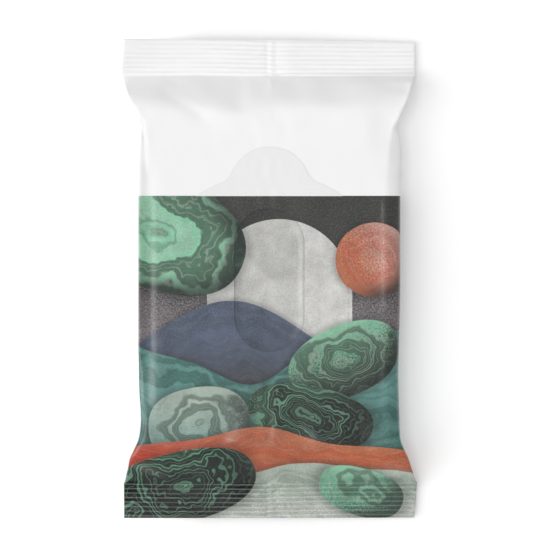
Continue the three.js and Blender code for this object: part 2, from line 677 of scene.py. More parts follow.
@dataclass(frozen=True)
class Pebble(Motif):
    """A turned, slightly squared ellipse, shaded as a round stone.

    The spans of its shading are shares of its rim and of its smaller radius.
    """

    centre: Span = (0.0, 0.0)
    radii: Span = (10.0, 7.0)
    lean: float = 0.0
    squareness: float = 2.3
    rim: float = 7.0
    rim_shade: float = 0.85
    rim_grain: float = 1.2
    rim_span: Span = (-0.6, 0.5)
    far_grain: float = 2.0
    far_span: Span = (0.7, 2.3)

    def rounded(self, sketch: Sketch, web: WebPlace, gap: Socket, colour: Socket) -> Socket:
        """Stipples the side turned away from the light, so that the pebble looks round.

        Args:
            sketch: the tree to draw in.
            web: the place on the web.
            gap: distance to the shape's edge.
            colour: the pebble's inks.

        Returns:
            The shaded colour socket.
        """
        side = sketch.maths("SUBTRACT", web.u, self.centre[0])
        side = sketch.maths("SUBTRACT", side, sketch.maths("SUBTRACT", web.v, self.centre[1]))
        side = sketch.maths("MULTIPLY_ADD", web.grain, self.radii[1] * self.far_grain, side)
        far = sketch.ramp(side, *(self.radii[1] * share for share in self.far_span))
        near = sketch.maths("MULTIPLY_ADD", web.grain, self.rim * self.rim_grain, gap)
        by_rim = sketch.ramp(near, *(self.rim * share for share in self.rim_span))
        shade = sketch.maths("MULTIPLY", sketch.maths("MULTIPLY", far, by_rim), self.rim_shade)
        return sketch.blend(shade, colour, Ink.PINE.linear())

    def distance(self, sketch: Sketch, web: WebPlace) -> Socket:
        """Gives about the distance to the ellipse.

        Args:
            sketch: the tree to draw in.
            web: the place on the web.

        Returns:
            The distance's socket.
        """
        cosine, sine = math.cos(math.radians(self.lean)), math.sin(math.radians(self.lean))
        du = sketch.maths("SUBTRACT", web.u, self.centre[0])
        dv = sketch.maths("SUBTRACT", web.v, self.centre[1])
        along = sketch.maths("MULTIPLY_ADD", du, cosine, sketch.maths("MULTIPLY", dv, sine))
        across = sketch.maths("MULTIPLY_ADD", dv, cosine, sketch.maths("MULTIPLY", du, -sine))
        powers = []
        for offset, radius in zip((along, across), self.radii):
            share = sketch.maths("ABSOLUTE", sketch.maths("DIVIDE", offset, radius))
            powers.append(sketch.maths("POWER", share, self.squareness))
        size = sketch.maths("POWER", sketch.maths("ADD", *powers), 1 / self.squareness)
        return sketch.maths("MULTIPLY", sketch.maths("SUBTRACT", size, 1.0), min(self.radii))


@dataclass(frozen=True)
class Arch(Motif):
    """An upright arch with a round crown."""

    centre: float = 0.0
    radius: float = 20.0
    crown: float = 20.0
    foot: float = -40.0

    def distance(self, sketch: Sketch, web: WebPlace) -> Socket:
        """Gives the distance to the arch's edge."""
        du = sketch.maths("SUBTRACT", web.u, self.centre)
        return sketch.slot_gap(du, web.v, self.radius, self.crown, self.foot)


GROUND = Motif(Ink.CHARCOAL, Ink.LILAC, (-22, 44))
MOTIFS: tuple[Motif, ...] = (
    Arch(Ink.CONCRETE, Ink.SAGE, (10, 80), centre=4, radius=30, crown=25, foot=-60, shadow=0.1),
    Pebble(Ink.MINT, Ink.FOREST, (-30, 30), -40, centre=(-50, 22), radii=(42, 24), lean=-24,
           strata=0.8, strata_pitch=7.0, vein=Ink.FOREST),
    Pebble(Ink.TERRACOTTA, Ink.BLUSH, (24, 66), 20, centre=(43, 8), radii=(15.5, 15.5), squareness=2,
           strata=0.3, strata_pitch=4.0, vein=Ink.CLAY, pale=Ink.BLUSH),
    Dune(Ink.SLATE, Ink.CHARCOAL, (14, 60), level=-22, swell=13, crests=2, phase=2.4,
         strata=0.25, strata_pitch=5, vein=Ink.CHARCOAL, pale=Ink.LILAC),
    Dune(Ink.TEAL, Ink.DEEP_TEAL, (34, 96), level=-31, swell=11, crests=2, phase=-0.9, roll=2.5,
         strata=0.6, strata_pitch=6.5, vein=Ink.DEEP_TEAL, pale=Ink.TEAL),
    Pebble(Ink.MINT, Ink.FOREST, (20, 56), -70, centre=(31, -34), radii=(24, 14.5), lean=24,
           strata=0.7, strata_pitch=4.5, vein=Ink.FOREST),
    Pebble(Ink.FOREST, Ink.PINE, (36, 74), -60, centre=(17, -57), radii=(26, 12.5), lean=-12,
           strata=0.75, strata_pitch=4.0, vein=Ink.PINE, pale=Ink.MINT),
    Pebble(Ink.SAGE, Ink.TEAL, (30, 90), -90, centre=(-29, -60), radii=(21, 15), lean=8,
           strata=0.65, strata_pitch=4.2, vein=Ink.FOREST),
    Dune(Ink.TERRACOTTA, Ink.CLAY, (50, 100), -120, level=-67, swell=4.5, crests=2, phase=1.9, roll=1.2,
         strata=0.3, strata_pitch=4, vein=Ink.CLAY, pale=Ink.BLUSH),
    Dune(Ink.SAGE, Ink.CONCRETE, (80, 116), level=-81, swell=4, crests=2, phase=0.4, roll=1,
         strata=0.2, strata_pitch=4, vein=Ink.FOREST, pale=Ink.CONCRETE),
    Pebble(Ink.FOREST, Ink.PINE, (40, 86), -70, centre=(-37, -87), radii=(32, 15), lean=14,
           strata=0.8, strata_pitch=5.0, vein=Ink.PINE, pale=Ink.MINT),
    Pebble(Ink.MINT, Ink.DEEP_TEAL, (60, 116), -100, centre=(38, -89), radii=(18, 10), lean=-18,
           strata=0.65, strata_pitch=3.6, vein=Ink.FOREST),
)


@dataclass(frozen=True)
class PrintDesign:
    """The printed field of dunes, cut stones and an arch, below a bare white field.

    Sizes are in millimetres.
    """

    top: float = 34.6
    edge: float = 0.1
    fine_grain: Noise = (0.75, 3, 0.7)
    cloud: Noise = (9.0, 4, 0.62)
    patch: Noise = (26.0, 3, 0.55)
    warp: Noise = (17.0, 3, 0.5)
    warp_reach: float = 22.0
    grain_tone: Rise = (0.2, 0.8, 0.78, 1.16)
    cloud_tone: Rise = (0.25, 0.75, 0.82, 1.14)
    patch_tone: Rise = (0.3, 0.7, 0.9, 1.08)
    dust: Rise = (0.45, 0.75, 0, 0.1)

    def group(self) -> bpy.types.NodeTree:
        """Builds the print as a shader group that reads a place on the web.

        Returns:
            The node group, with a colour, an ink mask and the ink's grain.
        """
        sketch, place = web_group("PrintDesign", ("Color",), ("Ink", "Grain"))
        u, v = sketch.axes(place)
        web = WebPlace(
            place=place,
            u=u,
            v=v,
            grain=sketch.noise(place, *self.fine_grain),
            cloud=sketch.noise(place, *self.cloud),
            warp=sketch.maths("MULTIPLY", sketch.noise(place, *self.warp), self.warp_reach),
        )
        colour = GROUND.shade(sketch, web)
        for motif in MOTIFS:
            colour = motif.draw(sketch, web, colour)
        ink = sketch.ramp(v, self.top - self.edge, self.top + self.edge, 1, 0)
        sketch.put_out(Color=self.mottled(sketch, web, colour), Ink=ink, Grain=web.grain)
        return sketch.tree

    def mottled(self, sketch: Sketch, web: WebPlace, colour: Socket) -> Socket:
        """Breaks up the flat inks with fine grain, clouds and broad patches.

        Args:
            sketch: the tree to draw in.
            web: the place on the web.
            colour: the printed colour.

        Returns:
            The mottled colour socket.
        """
        patch = sketch.noise(web.place, *self.patch)
        tone = sketch.ramp(web.grain, *self.grain_tone)
        tone = sketch.maths("MULTIPLY", tone, sketch.ramp(web.cloud, *self.cloud_tone))
        tone = sketch.maths("MULTIPLY", tone, sketch.ramp(patch, *self.patch_tone))
        dust = sketch.ramp(web.grain, *self.dust)
        return sketch.blend(dust, sketch.scaled(colour, tone), Ink.SAGE.linear())


@dataclass(frozen=True)
class FilmTexture:
    """Fine unevenness that film and label share: small puckers, drawing lines and a patchy sheen."""

    pucker: Noise = (7.0, 2, 0.45)
    pucker_along: float = 0.55
    drawing: Noise = (2.2, 2, 0.5)
    drawing_along: float = 0.12
    drawing_share: float = 0.12
    patch: Noise = (16.0, 3, 0.55)
    sheen: Rise = (0.25, 0.75, -0.05, 0.05)
    tone: Rise = (0.2, 0.8, 0.985, 1.0)

    def group(self) -> bpy.types.NodeTree:
        """Builds the texture as a shader group that reads a place on the web.

        Returns:
            The node group, with a height, a sheen and a tone that vary over the surface.
        """
        sketch, place = web_group("FilmTexture", (), ("Height", "Sheen", "Tone"))
        pucker = sketch.noise(sketch.lengthened(place, self.pucker_along), *self.pucker)
        drawing = sketch.noise(sketch.lengthened(place, self.drawing_along), *self.drawing)
        patch = sketch.noise(place, *self.patch)
        sketch.put_out(
            Height=sketch.maths("MULTIPLY_ADD", drawing, self.drawing_share, pucker),
            Sheen=sketch.ramp(patch, *self.sheen),
            Tone=sketch.ramp(pucker, *self.tone),
        )
        return sketch.tree


@dataclass(frozen=True)
class WindowLine:
    """The dispensing window's outline on the web, a slot with round ends. Sizes are in millimetres.

    The line is painted shade of the cut, paler where the cut faces the light, at the right and at the foot.
    """

    width: float = 29.0
    low: float = -30.2
    high: float = 29.3
    line: float = 0.42
    line_core: float = 0.3
    edge: float = 0.2
    rim: float = 3.2
    sink: float = 0.3
    sink_margin: float = 0.4
    lit_line: float = 0.5
    lit_right: Span = (-4, 11)
    lit_foot: Span = (-24, -14)

    def group(self) -> bpy.types.NodeTree:
        """Builds the outline as a shader group.

        Returns:
            The node group, with masks of the line's painted shade, of what is inside it and of the painted
            shade round its rim.
        """
        sketch, place = web_group("WindowLine", (), ("Line", "Inside", "Rim"))
        u, v = sketch.axes(place)
        radius = self.width / 2
        gap = sketch.slot_gap(u, v, radius, self.high, self.low + radius)
        # The line is painted shade of the cut, paler at the right and at the foot, where the cut faces the
        # light.
        cut_shade = sketch.ramp(sketch.maths("ABSOLUTE", gap), self.line * self.line_core, self.line, 1, 0)
        cut_shade = sketch.maths("MULTIPLY", cut_shade, sketch.ramp(u, *self.lit_right, 1, self.lit_line))
        cut_shade = sketch.maths("MULTIPLY", cut_shade, sketch.ramp(v, *self.lit_foot, self.lit_line, 1))
        inside = sketch.ramp(gap, -self.edge, self.edge, 1, 0)
        # Rim is a mask of painted shade round the inside of the sunk window's rim.
        sketch.put_out(Line=cut_shade, Inside=inside, Rim=sketch.ramp(gap, -self.rim, 0))
        return sketch.tree

    def sunk(self, points: np.ndarray) -> np.ndarray:
        """Tells how far the film is sunk inside the window.

        Args:
            points: rows of x, y and z in metres.

        Returns:
            Metres downwards.
        """
        radius = self.width / 2
        x, y = points[:, 0] / MM, points[:, 1] / MM
        nearest = np.clip(y, self.low + radius, self.high - radius)
        inside = radius - np.hypot(x, y - nearest)
        return smooth_step(inside, -self.sink_margin, self.rim) * self.sink * MM


@dataclass(frozen=True)
class PrintedFinish:
    """Satin film, white where it is bare, with a clear varnish over its print."""

    name: str
    white: str
    roughness: float
    pucker_depth: float
    grain_depth: float
    gloss: float = 0.34
    refraction: float = 1.5
    ink_roughness: Rise = (0.3, 0.7, -0.02, 0.06)
    varnish: float = 0.95
    varnish_roughness: float = 0.2

    def material(self, groups: Groups) -> bpy.types.Material:
        """Builds the material.

        Args:
            groups: the shared shader groups by name.

        Returns:
            The new material.
        """
        material = bpy.data.materials.new(self.name)
        material.use_nodes = True
        sketch = Sketch(material.node_tree)
        shader = material.node_tree.nodes["Principled BSDF"]
        uv = sketch.add("ShaderNodeUVMap", uv_map=WEB_MAP)
        web = sketch.scaled(uv.outputs[0], 1 / MM)
        art = self.place_group(sketch, groups["print"], web)
        texture = self.place_group(sketch, groups["texture"], web)
        ink, grain = art.outputs["Ink"], art.outputs["Grain"]

        colour = sketch.blend(ink, linear_colour(self.white), art.outputs["Color"])
        colour = sketch.scaled(colour, texture.outputs["Tone"])
        sketch.feed(shader.inputs["Base Color"], self.paint_light_and_shade(sketch, groups, web, colour))

        inked = sketch.maths("MULTIPLY", ink, sketch.ramp(grain, *self.ink_roughness))
        rough = sketch.maths("ADD", sketch.maths("ADD", texture.outputs["Sheen"], inked), self.roughness)
        sketch.feed(shader.inputs["Roughness"], rough)

        puckered = sketch.bump(texture.outputs["Height"], self.pucker_depth)
        sketch.feed(shader.inputs["Normal"], sketch.bump(grain, self.grain_depth, puckered))
        sketch.feed(shader.inputs["Coat Weight"], sketch.maths("MULTIPLY", ink, self.varnish))
        shader.inputs["Coat Roughness"].default_value = self.varnish_roughness
        shader.inputs["IOR"].default_value = self.refraction
        shader.inputs["Specular IOR Level"].default_value = self.gloss
        return material

    def place_group(self, sketch: Sketch, group: bpy.types.NodeTree, web: Socket) -> bpy.types.Node:
        """Places a shared group and gives it the place on the web.

        Args:
            sketch: the tree to draw in.
            group: the shared group.
            web: place on the web, in millimetres.

        Returns:
            The group's node.
        """
        node = sketch.add("ShaderNodeGroup", node_tree=group)
        sketch.feed(node.inputs["Web"], web)
        return node

    def paint_light_and_shade(self, sketch: Sketch, groups: Groups, web: Socket, colour: Socket) -> Socket:
        """Paints no light or shade on plain film."""
        return colour


@dataclass(frozen=True)
class FilmFinish(PrintedFinish):
    """The wrap's finish, with painted highlights on its seals' rib crests and painted shade between them.
    """

    rib_shade: float = 0.18
    rib_highlight: float = 0.2

    def paint_light_and_shade(self, sketch: Sketch, groups: Groups, web: Socket, colour: Socket) -> Socket:
        """Paints highlights on the crests of the seals' ribs and paints shade in the valleys between them.

        Args:
            sketch: the tree to draw in.
            groups: the shared shader groups by name.
            web: place on the web, in millimetres.
            colour: the film's colour so far.

        Returns:
            The new colour socket.
        """
        rib = sketch.add("ShaderNodeAttribute", attribute_name=RIB_LIGHT_ATTRIBUTE).outputs["Fac"]
        valley_shade = sketch.scaled(colour, sketch.maths("MULTIPLY_ADD", rib, self.rib_shade, 1.0))
        crest_highlight = sketch.maths("MULTIPLY", sketch.maths("MAXIMUM", rib, 0.0), self.rib_highlight)
        return sketch.blend(crest_highlight, valley_shade, linear_colour(self.white))


@dataclass(frozen=True)
class LabelFinish(PrintedFinish):
    """The label's finish, through which the window shows, with painted shade along its cut edges."""

    # Painted shade along the window's cut line, a darker tone inside the window, painted shade round the
    # inside of its sunk rim, and painted shade along the label's cut edge.
    painted_cut_shade: float = 0.36
    inside_shade: float = 0.145
    rim_shade: float = 0.06
    painted_edge_shade: float = 0.035

    def paint_light_and_shade(self, sketch: Sketch, groups: Groups, web: Socket, colour: Socket) -> Socket:
        """Paints shade along the label's cut edge, along the window's cut line and round the inside of its
        sunk rim, and darkens the whole window.

        Args:
            sketch: the tree to draw in.
            groups: the shared shader groups by name.
            web: place on the web, in millimetres.
            colour: the label's colour so far.

        Returns:
            The new colour socket.
        """
        window = self.place_group(sketch, groups["window"], web).outputs
        edge = sketch.add("ShaderNodeAttribute", attribute_name=EDGE_SHADE_ATTRIBUTE).outputs["Fac"]
        # Painted shade round the inside of the sunk window's rim.
        painted_recess_shade = sketch.maths("MULTIPLY", window["Inside"], window["Rim"])
        shade = sketch.maths("MULTIPLY", window["Line"], self.painted_cut_shade)
        shade = sketch.maths("MULTIPLY_ADD", window["Inside"], self.inside_shade, shade)
        shade = sketch.maths("MULTIPLY_ADD", painted_recess_shade, self.rim_shade, shade)
        shade = sketch.maths("MULTIPLY_ADD", edge, self.painted_edge_shade, shade)
        return sketch.blend(shade, colour, Ink.PINE.linear())


@dataclass(frozen=True)
class Fold:
    """A soft valley pressed into the front of the film along a line. Sizes are in millimetres.

    A depth below 0 makes a ridge. The lip is a second ridge to the left of the line, some widths away.
    """

    path: tuple[Span, ...]
    depth: float
    width: float
    lip: float = 0.0
    run_out: float = 1.6
    lip_place: float = 2.0

    def drop(self, points: np.ndarray) -> np.ndarray:
        """Tells how far the fold lowers points.

        Args:
            points: rows of x, y and z in metres.

        Returns:
            Metres downwards.
        """
        places = points[:, :2] / MM
        nearest = np.full(len(points), np.inf)
        valley = np.zeros(len(points))
        ridge = np.zeros(len(points))
        for start, end in zip(np.array(self.path), np.array(self.path[1:])):
            line = end - start
            length = np.hypot(*line)
            offset = places - start
            along = offset @ line / length
            side = offset @ np.array([-line[1], line[0]]) / length / self.width
            beyond = np.maximum(np.maximum(-along, along - length), 0) / (self.run_out * self.width)
            gap = side**2 + beyond**2
            closer = gap < nearest
            nearest = np.where(closer, gap, nearest)
            valley = np.where(closer, np.exp(-gap), valley)
            ridge = np.where(closer, np.exp(-((side - self.lip_place) ** 2) - beyond**2), ridge)
        return (self.depth * valley - self.lip * ridge) * MM


@dataclass(frozen=True)
class Pinch:
    """A place where a long side of the pack is drawn in, or swells out. Sizes are in millimetres."""

    side: PackSide
    place: float
    depth: float
    reach: float
    inland: float = 9.0

    def shift(self, points: np.ndarray, half_width: float) -> np.ndarray:
        """Tells how far the pinch moves points along X.

        Args:
            points: rows of x, y and z in metres.
            half_width: half the pack's width there, in metres.

        Returns:
            Metres along X.
        """
        near = bell(points[:, 1] / MM, self.place, self.reach)
        edge = half_width / MM
        outer = smooth_step(self.side.value * points[:, 0] / MM, edge - self.inland, edge)
        return -self.side.value * self.depth * MM * near * outer


@dataclass(frozen=True)
class Scallop:
    """A place where the taper's knee reaches further into the panel. Sizes are in millimetres."""

    place: float
    reach: float
    width: float

    def pull(self, x: np.ndarray) -> np.ndarray:
        """Gives the reach in metres at places across the pack in millimetres."""
        return self.reach * MM * bell(x, self.place, self.width)


SLACK_FOLDS: tuple[Fold, ...] = (
    Fold(((-17.5, 84), (-17.5, 77)), -0.4, 4.0),
    Fold(((-9, 84), (-9, 77)), -0.25, 3.5),
    Fold(((30, 84), (27, 78)), 0.4, 7.0),
    Fold(((44, 75), (55, 81)), 0.3, 3.6),
    Fold(((46.6, 67), (45.5, 58)), 0.4, 3.0),
    Fold(((53.5, 70), (53.5, 58)), 0.5, 8.0),
    Fold(((-30, -80), (-22, -70)), 0.5, 5.6),
    Fold(((22, -80), (14, -69)), 0.8, 5.0),
    Fold(((46, -76), (38, -66)), 0.7, 3.6, 0.2),
)
CREASES: tuple[Fold, ...] = (
    Fold(((-43, 77.8), (-36.6, 73.6), (-29.8, 69.4)), 0.58, 2.6, -0.3),
    Fold(((-51.2, -50), (-51.2, 34), (-51.2, 40)), 0.5, 3.2),
    Fold(((-54.3, -30), (-54.3, 44)), -1.1, 2.6),
    Fold(((-54.8, -30), (-54.8, 46), (-54.4, 54), (-54.2, 59)), -0.7, 0.9),
    Fold(((-54.2, 60), (-54.3, 64), (-55.6, 70.5), (-57.7, 75.5), (-60.4, 82.5)), -0.5, 1.0),
    Fold(((-51.6, 45), (-52.0, 52), (-52.9, 58.5), (-53.7, 66)), 0.3, 0.85),
    Fold(((-49.1, 54), (-50.4, 58.2), (-52.9, 66.5), (-54.3, 70.7)), -0.1, 1.3),
    Fold(((49.4, 53), (48.6, 36), (48.8, -10)), -0.1, 1.2),
    Fold(((49.2, 31), (49.2, -52)), -0.32, 2.4),
    Fold(((58, 84), (58, 78)), -1.2, 8.0, run_out=0.5),
    Fold(((59.2, 82), (56.6, 74), (53.4, 65.5), (50.8, 59.2), (49.8, 51)), -0.26, 1.1),
    Fold(((58.4, 82), (55.8, 74), (53.0, 66.5)), -0.24, 1.3),
    Fold(((55.5, 73), (53, 65), (52.4, 58)), 0.62, 6.6, run_out=0.8),
    Fold(((-60, 82), (-58, 77)), 0.8, 8.0, run_out=0.5),
    Fold(((0.6, 83), (0.7, 81.6)), -0.35, 1.0),
    Fold(((0.8, 68.5), (0.4, 63.5)), -0.33, 4.4, run_out=0.6),
    Fold(((-0.2, 69), (0.0, 57)), -0.14, 1.6),
)
SCALLOPS: tuple[Scallop, ...] = (
    Scallop(-38, 1.2, 7),
    Scallop(-14.4, 3.1, 9),
    Scallop(9, 0.9, 5),
    Scallop(28, 1.1, 8),
)
PINCHES: tuple[Pinch, ...] = (
    Pinch(PackSide.LEFT, 62, 0.7, 12),
    Pinch(PackSide.LEFT, 80, -1.4, 7),
    Pinch(PackSide.RIGHT, 63, 1.2, 2.6, 6),
    Pinch(PackSide.RIGHT, 62, 0.4, 12),
    Pinch(PackSide.RIGHT, 53, -0.6, 6),
    Pinch(PackSide.RIGHT, 76, -0.8, 9),
    Pinch(PackSide.RIGHT, -39, 0.8, 20),
    Pinch(PackSide.RIGHT, -79, -0.9, 8),
    Pinch(PackSide.LEFT, -58, 0.8, 9),
    Pinch(PackSide.LEFT, -75, -0.8, 8),
)


@dataclass(frozen=True)
class SealPress:
    """How one end's jaws press its seal, and how the seal hangs afterwards.

    The flare is that of its left and of its right corner.
    """

    end: PackEnd
    force: float
    # Share of the painted highlights and painted shade on the seal's ribs.
    painted_light_share: float
    flare: Span
    tilt: float = 0.0
    corner_lift: float = 0.0


PRESSES: tuple[SealPress, ...] = (
    SealPress(PackEnd.UPPER, 1.0, 0.3, (1.2, 0.2), tilt=0.6 * MM, corner_lift=2.4 * MM),
    SealPress(PackEnd.LOWER, 1.8, 1.0, (0.1, 1.3)),
)


@dataclass(frozen=True)
class RibPattern:
    """The ribs that the jaws roll into a seal. Places and lengths across the seal are in millimetres.

    They jog and break where the fin is caught, waver, and are firmer in some places than in others.
    """

    count: int = 8
    depth: float = 0.5 * MM
    sharpness: float = 0.97
    jog: float = 1.3
    jog_span: Span = (-0.5, 0.9)
    waver: tuple[Wave, ...] = ((0.5, 17, 1), (0.3, 7.3, 2))
    firmness: float = 0.68
    firm_spots: tuple[Spot, ...] = ((0.3, -9, 9), (-0.3, -34, 11))
    slack: float = 0.16
    slack_span: Span = (26, 46)
    uneven: tuple[Wave, ...] = ((0.13, 9.1, 1.7), (0.1, 4.3, -2.3))
    corner_spot: Spot = (0.8, -61, 9)
    corner_fade: Span = (0.35, 0.65)
    # Each edge's place, and how far its groove spreads to the left and to the right.
    fin_edges: tuple[tuple[float, float, float], ...] = ((-0.8, 1.0, 1.0), (2.7, 1.1, 3.0))
    fin_depth: float = 0.3 * MM
    fin_fade: float = 0.4
    # How the painted highlights on the crests and the painted shade in the valleys follow the ribs.
    mark_power: float = 1.5
    mark_level: float = 0.4
    mark_limits: Span = (0.5, 1.4)

    def crest(self, x: np.ndarray, share: np.ndarray, end: PackEnd) -> np.ndarray:
        """Gives the ribs' plain form.

        Args:
            x: places across the seal.
            share: shares of the seal's length.
            end: the seal's end of the pack.

        Returns:
            Shares from 0 in the valleys to 1 on the crests.
        """
        drift = self.jog * smooth_step(x, *self.jog_span)
        for height, length, lean in self.waver:
            drift += height * np.sin(x / length + lean * end.value)
        phase = 2 * math.pi * (share * self.count + 0.5) + drift
        return 0.5 + np.arcsin(self.sharpness * np.cos(phase)) / math.pi

    def strength(self, x: np.ndarray, share: np.ndarray, force: float) -> np.ndarray:
        """Tells how firmly the ribs are pressed.

        Args:
            x: places across the seal.
            share: shares of the seal's length.
            force: the jaws' force.

        Returns:
            Factors for the ribs' height.
        """
        firm = self.firmness - self.slack * smooth_step(x, *self.slack_span)
        for height, place, width in self.firm_spots:
            firm += height * bell(x, place, width)
        strength = firm * force
        for height, length, lean in self.uneven:
            strength += height * np.sin(x / length + lean * share * self.count)
        height, place, width = self.corner_spot
        return strength + height * bell(x, place, width) * (1 - smooth_step(share, *self.corner_fade))

    def lift(self, x: np.ndarray, crest: np.ndarray, strength: np.ndarray) -> np.ndarray:
        """Tells how far the film is raised, with grooves along the edges of the fin.

        Args:
            x: places across the seal.
            crest: the ribs' plain form.
            strength: how firmly they are pressed.

        Returns:
            Metres upwards.
        """
        caught = np.zeros(len(x))
        for place, left, right in self.fin_edges:
            caught += bell(x, place, np.where(x < place, left, right))
        return self.depth * crest * strength * (1 - self.fin_fade * caught) - self.fin_depth * caught

    def painted_rib_light(self, crest: np.ndarray, strength: np.ndarray) -> np.ndarray:
        """Tells how much painted highlight the crests get, above 0, and how much painted shade the valleys
        get, below 0.
        """
        return (crest**self.mark_power - self.mark_level) * np.clip(strength, *self.mark_limits)


@dataclass(frozen=True)
class Slackness:
    """How the film settles as cloth, at a larger scale that suits the solver."""

    scale: float = 10.0
    frames: int = 30
    slack: float = 0.005
    pressure: float = 0.03
    bending: float = 3.0
    stiffness: float = 80.0
    shear: float = 40.0
    damping: float = 10.0
    bending_damping: float = 1.0
    air: float = 5.0
    mass: float = 0.2
    quality: int = 8
    cap: float = 1.5 * MM
    panel_hold: float = 0.8
    taper_hold: float = 0.3
    hold_blend: float = 6 * MM
    resting: float = 1 * MM
    ripple_depth: float = 0.2 * MM
    ripple_count: int = 24
    ripple_length: Span = (14, 46)
    ripple_turn: float = 0.6
    seed: int = 7

    def prepare(self, cloth: bpy.types.ClothModifier, held: str) -> None:
        """Writes these values into a cloth modifier.

        Args:
            cloth: the modifier.
            held: name of the vertex group that says how firmly the film is held.
        """
        values = {
            "quality": self.quality,
            "mass": self.mass,
            "tension_stiffness": self.stiffness,
            "compression_stiffness": self.stiffness,
            "shear_stiffness": self.shear,
            "bending_stiffness": self.bending,
            "tension_damping": self.damping,
            "compression_damping": self.damping,
            "shear_damping": self.damping,
            "bending_damping": self.bending_damping,
            "air_damping": self.air,
            "shrink_min": -self.slack,
            "vertex_group_mass": held,
            "use_pressure": True,
            "uniform_pressure_force": self.pressure,
        }
        for name, value in values.items():
            setattr(cloth.settings, name, value)
        cloth.settings.effector_weights.gravity = 0
        cloth.collision_settings.use_collision = False
        cloth.point_cache.frame_start = 1
        cloth.point_cache.frame_end = self.frames

    def ripple(self, points: np.ndarray) -> np.ndarray:
        """Gives a smooth seeded unevenness that starts the film's wrinkles.

        Args:
            points: the film's vertices.

        Returns:
            Metres upwards.
        """
        chance = np.random.default_rng(self.seed)
        total = np.zeros(len(points))
        for _ in range(self.ripple_count):
            length = chance.uniform(*self.ripple_length) * MM
            angle = chance.normal(0, self.ripple_turn)
            phase = chance.uniform(0, 2 * math.pi)
            along = points[:, 0] * math.cos(angle) + points[:, 1] * math.sin(angle)
            total += np.sin(2 * math.pi * along / length + phase)
        return total / np.abs(total).max() * self.ripple_depth


